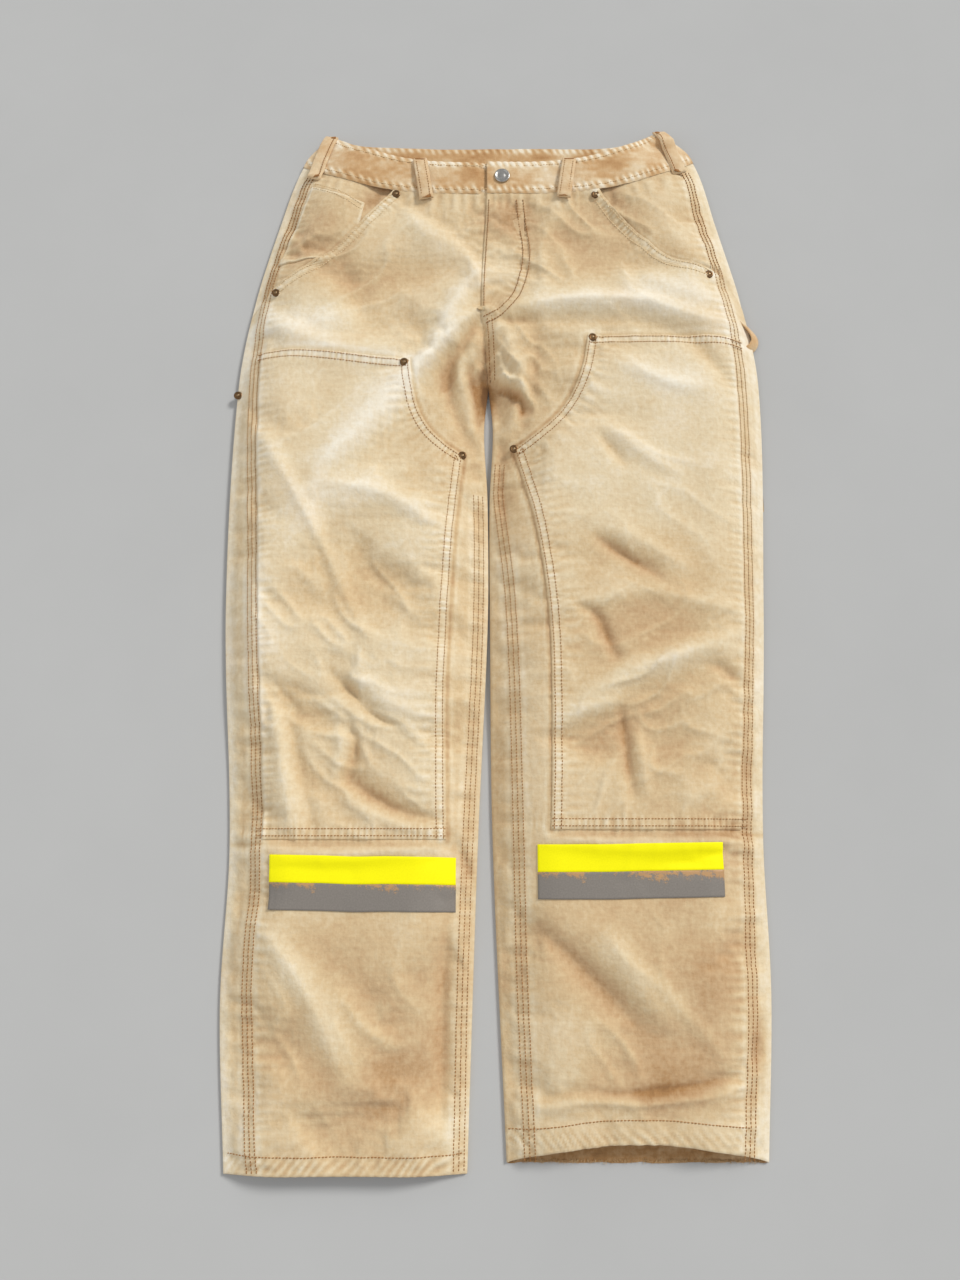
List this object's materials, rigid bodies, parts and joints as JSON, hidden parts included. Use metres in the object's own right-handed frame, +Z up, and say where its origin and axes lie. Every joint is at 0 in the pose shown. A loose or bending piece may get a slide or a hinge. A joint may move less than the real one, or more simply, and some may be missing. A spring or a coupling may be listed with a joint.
{
  "type": "bunker pants",
  "caption": "Double-front cotton duck work trousers with lime and silver reflective tape below each knee patch, laid flat; lower legs fold up, fly zip slides, waist button turns",
  "frame": {"origin": "Centre of the bounding box in X and Y, on the floor that the trousers lie on", "axes": "+X to the wearer's left, +Y from the hems to the waist, +Z up, out of the front of the trousers"},
  "size_m": [0.566, 1.067, 0.0356],
  "materials": {
    "canvas": "sun-bleached tan cotton duck, matt",
    "knee_patch": "the same cotton duck, paler and softer from wear",
    "waistband": "unfaded brown cotton duck, matt",
    "pocket_lining": "plain cotton pocketing",
    "zip_tape": "woven zip tape",
    "lime_tape": "fluorescent lime woven strip, satin",
    "silver_tape": "worn silver retroreflective film, matt grey",
    "zip_metal": "plain brass",
    "button_metal": "worn nickel plate",
    "rivet_metal": "dark antique brass"
  },
  "bodies": {
    "trousers": {"right_front_thigh": "canvas", "right_back_thigh": "canvas", "left_front_thigh": "canvas", "left_back_thigh": "canvas", "right_pocket_facing": "canvas", "left_pocket_facing": "canvas", "coin_pocket": "canvas", "right_back_pocket": "canvas", "right_tool_pocket": "canvas", "left_back_pocket": "canvas", "left_tool_pocket": "canvas", "fly_facing": "canvas", "fly_shield": "canvas", "belt_loop_right_front": "canvas", "belt_loop_left_front": "canvas", "belt_loop_right_side": "canvas", "belt_loop_left_side": "canvas", "belt_loop_right_back": "canvas", "belt_loop_centre_back": "canvas", "belt_loop_left_back": "canvas", "right_knee_patch": "knee_patch", "left_knee_patch": "knee_patch", "waistband_right_front": "waistband", "waistband_left_front": "waistband", "waistband_back": "waistband", "right_pocket_bag": "pocket_lining", "left_pocket_bag": "pocket_lining", "zip_tape_left": "zip_tape", "zip_tape_right": "zip_tape", "zip_bottom_stop": "zip_metal", "zip_top_stop_right": "zip_metal", "zip_top_stop_left": "zip_metal", "waist_button_tack": "button_metal", "rivet_right_pocket_top": "rivet_metal", "rivet_right_pocket_low": "rivet_metal", "rivet_right_patch_hip": "rivet_metal", "rivet_right_patch_corner": "rivet_metal", "rivet_left_pocket_top": "rivet_metal", "rivet_left_pocket_low": "rivet_metal", "rivet_left_patch_hip": "rivet_metal", "rivet_left_patch_corner": "rivet_metal", "rivet_tool_pocket": "rivet_metal"},
    "right_lower_leg": {"right_front_shin": "canvas", "right_back_shin": "canvas", "right_lime_tape": "lime_tape", "right_silver_tape": "silver_tape"},
    "left_lower_leg": {"left_front_shin": "canvas", "left_back_shin": "canvas", "left_lime_tape": "lime_tape", "left_silver_tape": "silver_tape"},
    "slider": {"zip_slider": "zip_metal"},
    "pull": {"zip_pull": "zip_metal"},
    "button": {"waist_button_cap": "button_metal"},
    "tool_strap": {"hammer_loop": "canvas"}
  },
  "joints": [
    {"name": "right_leg_fold", "type": "hinge", "parent": "trousers", "child": "right_lower_leg", "pos_m": [-0.13, -0.2495, 0.0278], "axis": [-1, 0, 0], "range_deg": [0, 170]},
    {"name": "left_leg_fold", "type": "hinge", "parent": "trousers", "child": "left_lower_leg", "pos_m": [0.12, -0.2405, 0.0278], "axis": [-1, 0, 0], "range_deg": [0, 170]},
    {"name": "zip_slide", "type": "slide", "parent": "trousers", "child": "slider", "axis": [0, 1, 0], "range_m": [-0.1133, 0]},
    {"name": "zip_pull_tilt", "type": "hinge", "parent": "slider", "child": "pull", "pos_m": [0.00699, 0.44082, 0.0194], "axis": [-1, 0, 0], "range_deg": [0, 9]},
    {"name": "waist_button_turn", "type": "hinge", "parent": "trousers", "child": "button", "pos_m": [0.00349, 0.47601, 0.0272], "axis": [0, 0, 1], "continuous": true},
    {"name": "hammer_loop_swing", "type": "hinge", "parent": "trousers", "child": "tool_strap", "pos_m": [0.2725, 0.2975, 0.0059], "axis": [0.1567, -0.9876, 0], "range_deg": [0, 50]}
  ]
}
